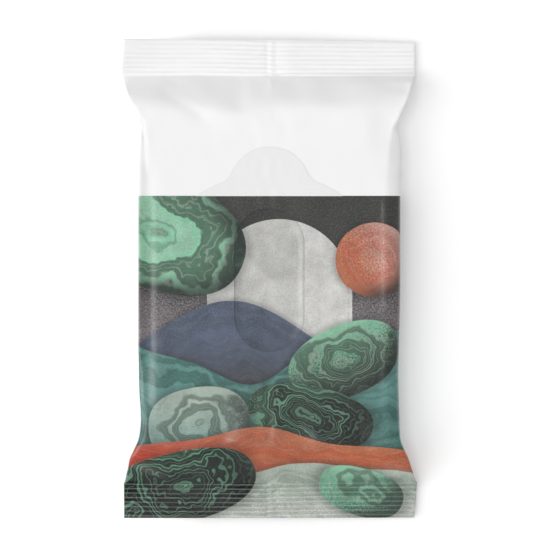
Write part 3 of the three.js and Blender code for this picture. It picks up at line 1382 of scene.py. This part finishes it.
@dataclass
class FilmPack:
    """The film wrap: a tube of film, flattened and crimped at both ends, round a stack of folded wipes."""

    length: float
    flat_width: float
    thickness: float
    # The section round the stack, the front's edge sharper as the taper closes.
    edge_radius: float = 5.4 * MM
    roundest_edge: float = 0.9
    edge_power: Span = (9, 14)
    edge_steps: int = 9
    # The tapers.
    taper_length: float = 24 * MM
    knee_start: float = 12.9 * MM
    knee_width: float = 1.7 * MM
    crown_edge: float = 0.75
    # The end seals, and the room for the fin seal on the back.
    seal_length: float = 15 * MM
    seal_height: float = 6.5 * MM
    seal_gap: float = 0.4 * MM
    seal_ease: float = 3 * MM
    side_fold: float = 0.5 * MM
    weld: float = 0.02 * MM
    tolerance: float = 0.1 * MM
    fin_width: float = 11 * MM
    fin_room: float = 0.4 * MM
    fin_dish: Span = (4 * MM, 16 * MM)
    # The grid of the film, closer at the sides and in the middle.
    columns: int = 80
    crowding: Span = (0.3, -0.42)
    panel_rows: int = 20
    taper_rows: int = 9
    seal_rows: int = 19
    smoothing: int = 2
    # The slope along the right-hand side, and the undercut along the left-hand one.
    facet_start: float = 49.6 * MM
    facet_slope: float = 0.46
    facet_ease: float = 1.6 * MM
    facet_fade: Span = (-4 * MM, 6 * MM)
    facet_shift: float = 3 * MM
    facet_shift_span: Span = (54 * MM, 70 * MM)
    undercut: float = 1.8 * MM
    undercut_start: float = 0.2 * MM
    undercut_span: Span = (5 * MM, 1 * MM)
    # How the seals are ribbed and hang, with spans across them in millimetres.
    rib_ease: Span = (0.6 * MM, 0.5 * MM)
    side_droop: float = 4.1 * MM
    side_droop_span: Span = (8, 61)
    side_droop_ease: float = 4 * MM
    seal_droop: float = 0.2 * MM
    seal_flare: float = 0.9 * MM
    corner_span: Span = (40, 66)
    ribs: RibPattern = RibPattern()
    slackness: Slackness = Slackness()

    @property
    def girth(self) -> float:
        """The tube's girth."""
        return 2 * self.flat_width

    @property
    def half_width(self) -> float:
        """Half the width of the panel's section."""
        return (self.flat_width - self.thickness + (4 - math.pi) * self.edge_radius) / 2

    @property
    def seal_root(self) -> float:
        """Distance from the pack's middle to where a seal starts."""
        return self.length / 2 - self.seal_length

    @property
    def panel_end(self) -> float:
        """Distance from the pack's middle to where the flat panel ends."""
        return self.seal_root - self.taper_length

    def build(self, window: WindowLine, finish: PrintedFinish, groups: Groups) -> bpy.types.Object:
        """Makes the film piece.

        Args:
            window: the dispensing window in its front panel.
            finish: the film's finish.
            groups: the shared shader groups by name.

        Returns:
            The finished piece.
        """
        piece = self.raise_tube()
        self.press_sections(piece)
        self.close_ends(piece)
        self.press_folds(piece, SLACK_FOLDS)
        self.settle(piece)
        apply_modifier(piece, "SUBSURF", levels=self.smoothing, render_levels=self.smoothing)
        self.press_folds(piece, CREASES)
        self.shape_sides(piece)
        self.give_room(piece, window)
        self.crimp(piece)
        dress(piece, finish.material(groups))
        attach(piece, BODY)
        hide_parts("film_pack")
        LOG.info("film_wrap: %d faces", len(piece.data.polygons))
        return piece

    def stations(self) -> np.ndarray:
        """Spaces the tube's rings, closer together in the tapers and seals.

        Returns:
            The rings' places along Y.
        """
        panel = np.linspace(-self.panel_end, self.panel_end, self.panel_rows + 1)
        taper = np.linspace(self.panel_end, self.seal_root, self.taper_rows + 1)[1:]
        seal = np.linspace(self.seal_root, self.length / 2, self.seal_rows + 1)[1:]
        outer = np.concatenate([taper, seal])
        return np.concatenate([-outer[::-1], panel, outer])

    def raise_tube(self) -> bpy.types.Object:
        """Adds a round tube of film along Y and divides it into rings.

        Returns:
            The new tube.
        """
        bpy.ops.object.select_all(action="DESELECT")
        bpy.ops.mesh.primitive_cylinder_add(
            vertices=self.columns,
            radius=self.girth / (2 * math.pi),
            depth=self.length,
            end_fill_type="NOTHING",
            rotation=(math.pi / 2, 0, 0),
        )
        piece = bpy.context.active_object
        piece.name = "film_wrap"
        bpy.ops.object.transform_apply(location=True, rotation=True, scale=True)
        while piece.data.uv_layers:
            piece.data.uv_layers.remove(piece.data.uv_layers[0])
        with edit_mode(piece) as mesh:
            for edge in mesh.edges:
                first, second = (vertex.co for vertex in edge.verts)
                edge.select_set(abs(first.y - second.y) > self.length / 2)
            bmesh.update_edit_mesh(piece.data)
            bpy.ops.mesh.subdivide(number_cuts=len(self.stations()) - 2)
            bpy.ops.mesh.select_all(action="SELECT")
            bpy.ops.mesh.normals_make_consistent(inside=False)
        return piece

    def faces_at(self, distance: np.ndarray) -> tuple[np.ndarray, np.ndarray, np.ndarray]:
        """Gives the heights of the front and back film.

        Args:
            distance: distances from the pack's middle, along Y.

        Returns:
            Front heights, back heights and the share by which the taper has closed.
        """
        share = np.clip((distance - self.panel_end) / self.taper_length, 0, 1)
        closing = 1 - np.cos(share * math.pi / 2)
        front = self.thickness + (self.seal_height + self.seal_gap / 2 - self.thickness) * closing
        back = (self.seal_height - self.seal_gap / 2) * closing
        return front, back, closing

    def front_share(self, points: np.ndarray) -> np.ndarray:
        """Tells how much points belong to the front film: 0 from the middle down, and 1 at its height."""
        front, back, _ = self.faces_at(np.abs(points[:, 1]))
        return smooth_step(points[:, 2], (front + back) / 2, front)

    def free_share(self, points: np.ndarray) -> np.ndarray:
        """Tells how free points are of the seals: 0 in a seal, and 1 a little way from it."""
        return 1 - smooth_step(np.abs(points[:, 1]), self.seal_root - self.seal_ease, self.seal_root)

    def wrap_outline(self, thickness: float, closing: float) -> tuple[np.ndarray, np.ndarray, np.ndarray]:
        """Gives half the film's section, from the middle of the front round to the middle of the back.

        Args:
            thickness: height of the section.
            closing: share by which the taper has closed, which sharpens the front's edge.

        Returns:
            Lengths along the film, and the places across and above the section's middle.
        """
        radius = min(self.edge_radius, self.roundest_edge * thickness / 2)
        half = (self.flat_width - thickness + (4 - math.pi) * radius) / 2
        turn = np.linspace(0, math.pi / 2, self.edge_steps)
        panel_power, closing_power = self.edge_power
        arcs = []
        for sharpness in (2 / (panel_power + closing_power * closing), 1.0):
            arc_x = half - radius + radius * np.sin(turn) ** sharpness
            arc_z = thickness / 2 - radius + radius * np.clip(np.cos(turn), 0, 1) ** sharpness
            arcs.append((arc_x, arc_z))
        (front_x, front_z), (back_x, back_z) = arcs
        across = np.concatenate([[0], front_x, back_x[::-1], [0]])
        above = np.concatenate([[thickness / 2], front_z, -back_z[::-1], [-thickness / 2]])
        steps = np.hypot(np.diff(across), np.diff(above))
        run = np.concatenate([[0], np.cumsum(steps)])
        return run * (self.girth / 2) / run[-1], across, above

    def press_sections(self, piece: bpy.types.Object) -> None:
        """Presses the round tube into the pack's sections and keeps each corner's place on the flat web.

        Args:
            piece: the tube.
        """
        points = points_of(piece)
        stations = self.stations()
        ring = np.rint((points[:, 1] / self.length + 0.5) * (len(stations) - 1)).astype(int)
        across = self.across_web(np.arctan2(points[:, 0], points[:, 2]) / (2 * math.pi))
        self.lay_web_map(piece, np.column_stack([across, stations[ring]]))

        pressed = np.zeros_like(points)
        for row, y in enumerate(stations):
            on_ring = ring == row
            front, back, closing = (float(value) for value in self.faces_at(np.abs(y)))
            run, outline_x, outline_z = self.wrap_outline(front - back, closing)
            reach = np.abs(across[on_ring])
            pressed[on_ring, 0] = np.sign(across[on_ring]) * np.interp(reach, run, outline_x)
            pressed[on_ring, 1] = y
            pressed[on_ring, 2] = (front + back) / 2 + np.interp(reach, run, outline_z)
        pressed[:, 2] += self.crown_rise(pressed)
        place_points(piece, pressed)

    def across_web(self, turn: np.ndarray) -> np.ndarray:
        """Spreads the tube's columns over the web, closer together at the sides and in the middle.

        Args:
            turn: shares of a whole turn from the middle of the front, from -0.5 to 0.5.

        Returns:
            Metres across the web.
        """
        sides, middle = self.crowding
        swing = sides * np.sin(4 * math.pi * turn) / (4 * math.pi)
        swing += middle * np.sin(8 * math.pi * turn) / (8 * math.pi)
        return self.girth * (turn + swing)

    def crown_rise(self, points: np.ndarray) -> np.ndarray:
        """Tells how far the front film stands above the plain taper.

        It is flat to a scalloped knee, and then falls in an even ramp to the seal.

        Args:
            points: the film's vertices.

        Returns:
            Metres upwards.
        """
        distance = np.minimum(np.abs(points[:, 1]), self.seal_root)
        front, back, closing = self.faces_at(distance)
        edge = self.crown_edge * front + (1 - self.crown_edge) * back
        on_front = smooth_step(points[:, 2], (front + back) / 2, edge)
        knee = np.full(len(points), self.panel_end + self.knee_start)
        for scallop in SCALLOPS:
            knee -= scallop.pull(points[:, 0] / MM)
        fallen = np.logaddexp(0, (distance - knee) / self.knee_width)
        fallen /= np.logaddexp(0, (self.seal_root - knee) / self.knee_width)
        return (self.thickness - self.seal_height) * (closing - fallen) * on_front

    def lay_web_map(self, piece: bpy.types.Object, web: np.ndarray) -> None:
        """Writes the place on the flat web as a UV map in metres, cut along the middle of the back.

        Args:
            piece: the tube.
            web: each vertex's place across and along the web.
        """
        layer = piece.data.uv_layers.new(name=WEB_MAP)
        for face in piece.data.polygons:
            places = web[list(face.vertices)].copy()
            if np.ptp(places[:, 0]) > self.girth / 2:
                places[places[:, 0] < 0, 0] += self.girth
            for corner, place in zip(face.loop_indices, places):
                layer.data[corner].uv = place

    def close_ends(self, piece: bpy.types.Object) -> None:
        """Presses the front and back film together at both cut ends and keeps the cut straight.

        Args:
            piece: the pressed tube.
        """
        cut = self.length / 2 - self.seal_gap / 2
        points = points_of(piece)
        points[np.abs(points[:, 1]) > cut, 2] = self.seal_height
        place_points(piece, points)
        with edit_mode(piece) as mesh:
            for vertex in mesh.verts:
                vertex.select_set(abs(vertex.co.y) > cut)
            mesh.select_flush_mode()
            bmesh.update_edit_mesh(piece.data)
            bpy.ops.mesh.remove_doubles(threshold=self.weld)
        with edit_mode(piece) as mesh:
            for edge in mesh.edges:
                at_cut = all(abs(vertex.co.y) > cut for vertex in edge.verts)
                edge.select_set(at_cut or all(self.is_side_fold(vertex.co) for vertex in edge.verts))
            bmesh.update_edit_mesh(piece.data)
            bpy.ops.transform.edge_crease(value=1.0)

    def is_side_fold(self, place: Vector) -> bool:
        """Tells whether a point lies on the sharp fold at the side of a seal."""
        in_seal = abs(place.y) > self.seal_root - self.tolerance
        return in_seal and abs(place.x) > self.flat_width / 2 - self.side_fold

    def settle(self, piece: bpy.types.Object) -> None:
        """Lets the film settle as slack cloth that the soft stack of wipes holds.

        Args:
            piece: the pressed tube, closed at both ends.
        """
        slackness = self.slackness
        laid = points_of(piece)
        held = self.held_share(laid)
        seeded = laid.copy()
        seeded[:, 2] += slackness.ripple(laid) * (1 - held)
        place_points(piece, seeded * slackness.scale)
        group = piece.vertex_groups.new(name="held")
        for index, share in enumerate(held):
            group.add([index], float(share), "REPLACE")
        cloth = piece.modifiers.new("Settle", "CLOTH")
        slackness.prepare(cloth, group.name)
        for step in range(1, slackness.frames + 1):
            bpy.context.scene.frame_set(step)
        choose(piece)
        bpy.ops.object.modifier_apply(modifier=cloth.name)
        piece.vertex_groups.clear()
        bpy.context.scene.frame_set(1)

        moved = points_of(piece) / slackness.scale - laid
        far = np.linalg.norm(moved, axis=1, keepdims=True)
        moved *= slackness.cap * np.tanh(far / slackness.cap) / np.maximum(far, TINY)
        place_points(piece, laid + moved)
        LOG.info("film settled, by %.2f mm on average and %.2f mm at most", far.mean() / MM, far.max() / MM)

    def held_share(self, points: np.ndarray) -> np.ndarray:
        """Tells how firmly the film is held: wholly in the seals and on the table, and softly on the stack.

        Args:
            points: the film's vertices.

        Returns:
            A share from 0, free, to 1, fixed.
        """
        slackness = self.slackness
        distance = np.abs(points[:, 1])
        blend = slackness.hold_blend
        in_taper = smooth_step(distance, self.panel_end - blend, self.panel_end + blend)
        held = slackness.panel_hold + (slackness.taper_hold - slackness.panel_hold) * in_taper
        sealed = distance >= self.seal_root - self.tolerance
        resting = (points[:, 2] < slackness.resting) & (distance < self.panel_end)
        return np.where(sealed | resting, 1.0, held)

    def press_folds(self, piece: bpy.types.Object, folds: tuple[Fold, ...]) -> None:
        """Presses folds into the front film between the seals.

        Args:
            piece: the film.
            folds: the folds to press.
        """
        points = points_of(piece)
        share = self.front_share(points) * self.free_share(points)
        for fold in folds:
            points[:, 2] -= fold.drop(points) * share
        place_points(piece, points)

    def shape_sides(self, piece: bpy.types.Object) -> None:
        """Pinches both long sides, slopes the front down to the right one and undercuts the left one.

        Args:
            piece: the refined film.
        """
        points = points_of(piece)
        free = self.free_share(points)
        for pinch in PINCHES:
            points[:, 0] += pinch.shift(points, self.half_width) * free

        distance = np.abs(points[:, 1])
        shift = self.facet_shift * smooth_step(points[:, 1], *self.facet_shift_span)
        over = points[:, 0] - self.facet_start - shift
        eased = (over + np.hypot(over, self.facet_ease)) / 2
        faded = 1 - smooth_step(distance, *(self.panel_end + place for place in self.facet_fade))
        points[:, 2] -= self.facet_slope * eased * self.front_share(points) * faded

        front, back, _ = self.faces_at(distance)
        start = self.undercut_start
        below = smooth_step(front - points[:, 2], start, start + (front - back) / 2)
        at_left = smooth_step(-points[:, 0], *(self.half_width - inland for inland in self.undercut_span))
        points[:, 0] += self.undercut * below * at_left * free
        place_points(piece, points)

    def give_room(self, piece: bpy.types.Object, window: WindowLine) -> None:
        """Keeps the back on the table, dishes it round the fin, and sinks the front inside the window.

        Args:
            piece: the refined film.
            window: the dispensing window.
        """
        points = points_of(piece)
        points[:, 2] = np.maximum(points[:, 2], 0)
        closing = self.faces_at(np.abs(points[:, 1]))[2]
        on_front = self.front_share(points)
        dish = 1 - smooth_step(np.abs(points[:, 0]), *(self.fin_width + reach for reach in self.fin_dish))
        points[:, 2] += self.fin_room * dish * (1 - closing) * (1 - on_front)
        points[:, 2] -= window.sunk(points) * on_front
        place_points(piece, points)

    def crimp(self, piece: bpy.types.Object) -> None:
        """Rolls the ribs into both seals, front and back film together, and lets the seals hang.

        Args:
            piece: the refined film.
        """
        points = points_of(piece)
        y = points[:, 1].copy()
        painted_rib_light = np.zeros(len(points))
        start, end = self.rib_ease
        for press in PRESSES:
            x = points[:, 0] / MM
            into = press.end.value * y - self.seal_root
            share = np.clip(into / self.seal_length, 0, 1)
            in_seal = 1 - smooth_step(into, self.seal_length - end, self.seal_length)
            in_seal *= smooth_step(into, 0, start)
            crest = self.ribs.crest(x, share, press.end)
            strength = self.ribs.strength(x, share, press.force)
            points[:, 2] += self.ribs.lift(x, crest, strength) * in_seal
            # Painted highlights on the rib crests and painted shade in their valleys, for the material.
            painted_rib_light += self.ribs.painted_rib_light(crest, strength) * in_seal * press.painted_light_share
            self.hang_seal(points, press, into, share)
        place_points(piece, points)
        mark_points(piece, RIB_LIGHT_ATTRIBUTE, painted_rib_light)

    def hang_seal(self, points: np.ndarray, press: SealPress, into: np.ndarray, share: np.ndarray) -> None:
        """Lets one seal droop, mostly at its right, with its corners flared and its cut a little askew.

        Args:
            points: the film's vertices, which are moved.
            press: the seal.
            into: distances into the seal.
            share: the same as shares of its length.
        """
        x = points[:, 0] / MM
        across = points[:, 0] / (self.flat_width / 2)
        first, last = self.side_droop_span
        rightwards = np.clip((x - first) / (last - first), 0, 1)
        near = smooth_step(into, -self.side_droop_ease, self.side_droop_ease)
        points[:, 2] -= self.side_droop * near * rightwards + self.seal_droop * share * share
        points[:, 2] += press.corner_lift * share * smooth_step(-x, *self.corner_span)
        points[:, 1] -= press.tilt * share * across
        left, right = press.flare
        flare = self.seal_flare * (1 - share) * smooth_step(into, -self.seal_ease, 0)
        points[:, 0] += flare * np.where(x > 0, right, left) * across


@dataclass
class FinSeal:
    """The lengthwise fin seal: a crimped strip of film folded flat on the back panel."""

    length: float
    width: float
    seal_length: float
    thickness: float = 0.3 * MM
    ridge_pitch: float = 1.4 * MM
    ridge_depth: float = 0.08 * MM
    ridge_fade: float = 1 * MM
    end_margin: float = 0.2 * MM
    columns: int = 10
    rows_per_ridge: int = 4
    clearance: float = 0.04 * MM
    start_depth: float = 20 * MM
    web_start: float = 122 * MM

    def build(self, film: bpy.types.Object, material: bpy.types.Material) -> bpy.types.Object:
        """Makes the fin piece.

        Args:
            film: the film piece that it lies on.
            material: the film's material.

        Returns:
            The finished piece.
        """
        bpy.ops.object.select_all(action="DESELECT")
        bpy.ops.mesh.primitive_grid_add(
            x_subdivisions=self.columns,
            y_subdivisions=int(self.length / self.ridge_pitch) * self.rows_per_ridge,
            size=1,
            location=(self.width / 2, 0, -self.start_depth),
        )
        piece = bpy.context.active_object
        piece.name = "fin_seal"
        piece.scale = (self.width, self.length - 2 * self.end_margin, 1)
        bpy.ops.object.transform_apply(location=True, rotation=True, scale=True)
        lay_flat_map(piece, self.web_start)
        lay_on(piece, film, upwards=True)
        points = points_of(piece)
        ridge = np.cos(2 * math.pi * points[:, 1] / self.ridge_pitch)
        root = self.length / 2 - self.seal_length
        free = 1 - smooth_step(np.abs(points[:, 1]), root - self.ridge_fade, root)
        points[:, 2] -= self.clearance + self.ridge_depth * (0.5 + 0.5 * ridge) * free
        place_points(piece, points)
        with edit_mode(piece):
            bpy.ops.mesh.select_all(action="SELECT")
            bpy.ops.mesh.flip_normals()
        apply_modifier(piece, "SOLIDIFY", thickness=self.thickness, offset=1.0)
        dress(piece, material)
        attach(piece, BODY)
        LOG.info("fin_seal: %d faces", len(piece.data.polygons))
        return piece


@dataclass
class ResealLabel:
    """The reseal label: a thin sheet with a round pull tab, stuck to the front panel over the window."""

    width: float
    bottom: float
    length: float
    thickness: float = 0.1 * MM
    corner: float = 5 * MM
    corner_steps: int = 12
    tab_radius: float = 17 * MM
    tab_sweep: float = 130.0
    tab_steps: int = 16
    shoulder_drop: float = 27 * MM
    shoulder_turn: float = 16.8 * MM
    shoulder_slope: float = 27.0
    columns: int = 150
    rows: int = 220
    tab_rows: int = 24
    tab_zone: float = 4 * MM
    start_height: float = 60 * MM
    clearance: float = 0.05 * MM
    edge_shade_width: float = 0.4 * MM
    rim_steps: int = 24
    rim_batches: int = 40

    @property
    def top(self) -> float:
        """Place along Y of the tab's top."""
        return self.bottom + self.length

    def edge(self) -> np.ndarray:
        """Gives the label's right-hand edge, from its lower edge to the top of its tab.

        Returns:
            One row of half width and place along Y for each point.
        """
        half = self.width / 2
        tab_centre = np.array([0, self.top - self.tab_radius])
        tab_end = math.pi / 2 - math.radians(self.tab_sweep) / 2
        tab = np.array([math.cos(tab_end), math.sin(tab_end)]) * self.tab_radius + tab_centre
        turn = np.array([(tab[0] + half) / 2, self.top - self.shoulder_turn])
        reach = (half - tab[0]) / 3
        slope = math.radians(self.shoulder_slope)
        along = reach * np.array([math.cos(slope), -math.sin(slope)])
        leave = reach * np.array([math.sin(tab_end), -math.cos(tab_end)])
        shoulder = np.array([half, self.top - self.shoulder_drop])

        angle = np.linspace(-math.pi / 2, 0, self.corner_steps)
        corner = np.column_stack([np.cos(angle), np.sin(angle)]) * self.corner
        corner += [half - self.corner, self.bottom + self.corner]
        outer = bezier(shoulder, shoulder + [0, reach], turn + along, turn)
        inner = bezier(turn, turn - along, tab + leave, tab)
        angle = np.linspace(tab_end, math.pi / 2, self.tab_steps)
        crown = np.column_stack([np.cos(angle), np.sin(angle)]) * self.tab_radius + tab_centre
        return np.concatenate([corner, outer, inner, crown])

    def build(self, film: bpy.types.Object, finish: PrintedFinish, groups: Groups) -> bpy.types.Object:
        """Makes the label piece.

        Args:
            film: the film piece that it is stuck to.
            finish: the label's finish.
            groups: the shared shader groups by name.

        Returns:
            The finished piece.
        """
        bpy.ops.object.select_all(action="DESELECT")
        bpy.ops.mesh.primitive_grid_add(
            x_subdivisions=self.columns,
            y_subdivisions=self.rows,
            size=2,
            location=(0, 0, self.start_height),
        )
        piece = bpy.context.active_object
        piece.name = "peel_label"
        bpy.ops.object.transform_apply(location=True, rotation=True, scale=True)
        self.cut_outline(piece)
        lay_on(piece, film, upwards=False)
        points = points_of(piece)
        points[:, 2] += self.clearance
        place_points(piece, points)
        apply_modifier(piece, "SOLIDIFY", thickness=self.thickness, offset=1.0)
        dress(piece, finish.material(groups))
        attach(piece, BODY)
        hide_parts("reseal_label")
        LOG.info("peel_label: %d faces", len(piece.data.polygons))
        return piece

    def cut_outline(self, piece: bpy.types.Object) -> None:
        """Narrows each row of the sheet to the label's outline and marks where painted shade falls along
        its cut edge.

        Args:
            piece: a flat grid from -1 to 1.
        """
        outline = self.edge()
        points = points_of(piece)
        share = (points[:, 1] + 1) / 2
        tab_share = 1 - self.tab_rows / self.rows
        tab_start = self.top - self.tab_zone
        lower = self.bottom + share / tab_share * (tab_start - self.bottom)
        rise = np.clip((share - tab_share) / (1 - tab_share), 0, 1)
        upper = tab_start + (self.top - tab_start) * np.sin(rise * math.pi / 2)
        along = np.where(share < tab_share, lower, upper)
        half = np.interp(along, outline[:, 1], outline[:, 0])
        flat = np.column_stack([points[:, 0] * half, along, points[:, 2]])
        place_points(piece, flat)
        lay_flat_map(piece)
        # A mask of painted shade along the label's cut edge.
        mark_points(piece, EDGE_SHADE_ATTRIBUTE, bell(self.inland(flat, outline), 0, self.edge_shade_width))

    def inland(self, points: np.ndarray, outline: np.ndarray) -> np.ndarray:
        """Measures how far points lie from the label's edge.

        Args:
            points: the flat label's vertices.
            outline: the label's right-hand edge.

        Returns:
            Distances in metres.
        """
        pairs = zip(outline, outline[1:])
        dense = np.concatenate([np.linspace(a, b, self.rim_steps, endpoint=False) for a, b in pairs])
        mirrored = np.column_stack([np.abs(points[:, 0]), points[:, 1]])
        batches = np.array_split(mirrored, self.rim_batches)
        gaps = [np.hypot(*(batch[:, None] - dense[None]).T).min(axis=0) for batch in batches]
        return np.minimum(np.concatenate(gaps), points[:, 1] - self.bottom)


@dataclass(frozen=True)
class SoftSun:
    """A broad lamp far away, with its tilt from overhead, its bearing and its spread in degrees."""

    name: str
    tilt: float
    bearing: float
    spread: float
    strength: float
    mirrored: bool = True

    def hang(self) -> None:
        """Adds the lamp, which glossy film reflects only if it is mirrored."""
        light = bpy.data.lights.new(self.name, "SUN")
        light.energy = self.strength
        light.angle = math.radians(self.spread)
        lamp = bpy.data.objects.new(self.name, light)
        lamp.rotation_euler = (math.radians(self.tilt), 0, math.radians(self.bearing))
        lamp.visible_glossy = self.mirrored
        bpy.context.scene.collection.objects.link(lamp)


@dataclass
class Studio:
    """A pale floor with painted light at the pack's left, soft light from above and from the left, and a
    camera that looks straight down.
    """

    frame_width: float = 225.9 * MM
    centre: Span = (0.25 * MM, 3.8 * MM)
    reference_height: float = 7.5 * MM
    camera_distance: float = 2.5
    camera_reach: float = 20.0
    sensor: float = 36.0
    floor_size: float = 6.0
    floor_gap: float = 0.05 * MM
    floor_white: float = 0.9
    floor_roughness: float = 0.9
    floor_glow: float = 0.13
    painted_left_light: float = 0.22
    painted_light_span: Span = (-52 * MM, -25 * MM)
    world_strength: float = 0.39
    suns: tuple[SoftSun, ...] = (
        SoftSun("overhead", -1, 0, 50, 0.98, mirrored=False),
        SoftSun("strip", 17, -90, 12, 0.18),
        SoftSun("key", 48, -74, 45, 1.18),
    )

    def build(self) -> None:
        """Makes the floor, the lights and the camera."""
        self.lay_floor()
        for sun in self.suns:
            sun.hang()
        world = bpy.data.worlds.new("studio")
        world.use_nodes = True
        background = world.node_tree.nodes["Background"]
        background.inputs["Color"].default_value = (1, 1, 1, 1)
        background.inputs["Strength"].default_value = self.world_strength
        bpy.context.scene.world = world
        self.set_camera()
        bpy.context.scene.view_settings.view_transform = "Standard"

    def lay_floor(self) -> None:
        """Adds the floor, which the camera sees as white and which keeps the pack's shadow, with painted
        light that pales the shade at the pack's left.
        """
        bpy.ops.object.select_all(action="DESELECT")
        bpy.ops.mesh.primitive_plane_add(size=self.floor_size, location=(0, 0, -self.floor_gap))
        floor = bpy.context.active_object
        floor.name = "floor"
        material = bpy.data.materials.new("pale_floor")
        material.use_nodes = True
        sketch = Sketch(material.node_tree)
        shader = material.node_tree.nodes["Principled BSDF"]
        shader.inputs["Base Color"].default_value = (*[self.floor_white] * 3, 1)
        shader.inputs["Roughness"].default_value = self.floor_roughness
        shader.inputs["Specular IOR Level"].default_value = 0.0
        path = sketch.add("ShaderNodeLightPath")
        seen = sketch.maths("MAXIMUM", path.outputs["Is Camera Ray"], path.outputs["Is Glossy Ray"])
        seen = sketch.maths("MAXIMUM", seen, path.outputs["Is Transmission Ray"])
        across, _ = sketch.axes(sketch.add("ShaderNodeTexCoord").outputs["Object"])
        # Painted light on the floor, stronger at the pack's left, where it pales the pack's shade;
        # elsewhere the floor glows evenly.
        painted_pool = self.floor_glow + self.painted_left_light
        even_and_painted_glow = sketch.ramp(across, *self.painted_light_span, start=painted_pool, end=self.floor_glow)
        sketch.feed(shader.inputs["Emission Strength"], sketch.maths("MULTIPLY", seen, even_and_painted_glow))
        shader.inputs["Emission Color"].default_value = (1, 1, 1, 1)
        floor.data.materials.append(material)

    def set_camera(self) -> None:
        """Adds the camera above the pack's middle, far away with a long lens."""
        camera = bpy.data.cameras.new("camera")
        camera.sensor_width = self.sensor
        camera.lens = self.sensor * self.camera_distance / self.frame_width
        camera.clip_end = self.camera_reach
        holder = bpy.data.objects.new("camera", camera)
        holder.location = (*self.centre, self.reference_height + self.camera_distance)
        bpy.context.scene.collection.objects.link(holder)
        bpy.context.scene.camera = holder


def main() -> None:
    """Builds the pack's pieces in order, then the studio round them."""
    logging.basicConfig(level=logging.INFO, format="%(name)s %(message)s")
    low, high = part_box("film_pack")
    label_low, label_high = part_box("reseal_label")
    window = WindowLine()
    groups = {"print": PrintDesign().group(), "texture": FilmTexture().group(), "window": window.group()}

    film_finish = FilmFinish(
        name="printed_film", white="f3f3f3", roughness=0.37, pucker_depth=0.06 * MM, grain_depth=0.004 * MM
    )
    label_finish = LabelFinish(
        name="printed_label", white="ebebeb", roughness=0.36, pucker_depth=0.03 * MM, grain_depth=0.003 * MM
    )
    pack = FilmPack(length=high.y - low.y, flat_width=high.x - low.x, thickness=high.z - low.z)
    film = pack.build(window, film_finish, groups)
    FinSeal(pack.length, pack.fin_width, pack.seal_length).build(film, film.data.materials[0])
    label = ResealLabel(
        width=label_high.x - label_low.x, bottom=label_low.y, length=label_high.y - label_low.y
    )
    label.build(film, label_finish, groups)
    Studio().build()


if __name__ == "__main__":
    main()
